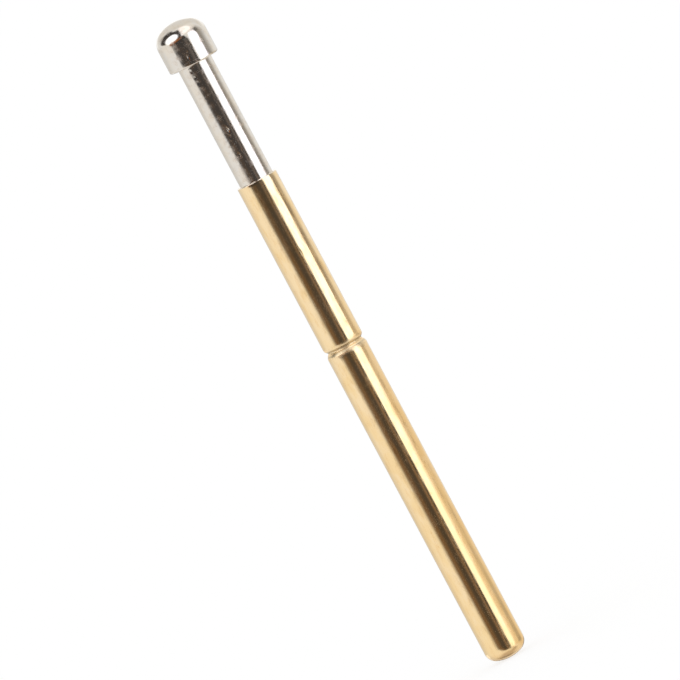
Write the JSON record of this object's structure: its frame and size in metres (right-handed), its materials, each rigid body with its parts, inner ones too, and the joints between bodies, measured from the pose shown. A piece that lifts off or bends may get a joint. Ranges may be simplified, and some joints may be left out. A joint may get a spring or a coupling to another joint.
{
  "type": "pogo pin",
  "caption": "Spring contact probe: a closed-end tube with a rolled groove holds a sliding, sprung plunger that has a wide domed head.",
  "frame": {"origin": "centre of the barrel's closed, domed end, at the lowest point of the pin", "axes": "+Z along the pin's axis, from the barrel's closed end to the plunger's domed head; X and Y are any two directions across it, because the pin is round"},
  "size_m": [0.0024, 0.0024, 0.0336],
  "materials": {
    "gold_plate": "pale gold plating on a drawn tube, polished, with fine lengthwise drawing lines",
    "nickel_plate": "polished nickel plating on a turned pin, with fine turning marks",
    "spring_wire": "drawn spring wire, satin"
  },
  "bodies": {
    "barrel": {"barrel": "gold_plate", "spring": "spring_wire"},
    "plunger": {"plunger": "nickel_plate"}
  },
  "joints": [
    {"name": "plunger_slide", "type": "slide", "parent": "barrel", "child": "plunger", "axis": [0, 0, -1], "range_m": [0, 0.006], "stiffness_N_per_m": 215, "springref_m": -0.004, "deforming": ["spring"]}
  ]
}
